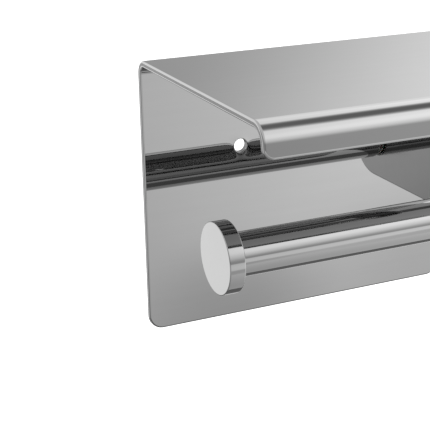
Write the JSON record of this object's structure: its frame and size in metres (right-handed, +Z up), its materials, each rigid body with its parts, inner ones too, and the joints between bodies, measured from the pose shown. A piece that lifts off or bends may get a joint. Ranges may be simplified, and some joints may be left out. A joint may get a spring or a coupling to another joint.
{
  "type": "toilet paper holder",
  "caption": "Wall-mounted toilet paper holder folded from polished steel sheet, with a shelf, a side ear and an open-ended bar that carries an end disc.",
  "frame": {"origin": "centre of the back plate's rear face, on the wall", "axes": "+X right as seen from the front (towards the ear), +Y into the wall, +Z up"},
  "size_m": [0.1668, 0.1266, 0.13],
  "materials": {
    "polished_steel": "mirror polished stainless steel, fine wipe marks",
    "zinc_steel": "zinc plated, dull",
    "brass": "machined, hidden inside the bar",
    "nylon": "natural nylon, slightly translucent white"
  },
  "bodies": {
    "holder": {"body_sheet": "polished_steel", "pivot_bush": "nylon"},
    "bar": {"bar_tube": "polished_steel", "end_disc": "polished_steel", "disc_stud": "zinc_steel", "disc_plug": "brass", "root_plug": "brass", "screw_washer": "nylon", "pivot_screw": "polished_steel"}
  },
  "joints": [
    {"name": "bar_spin", "type": "hinge", "parent": "holder", "child": "bar", "pos_m": [0, -0.065, -0.007], "axis": [1, 0, 0], "continuous": true}
  ]
}
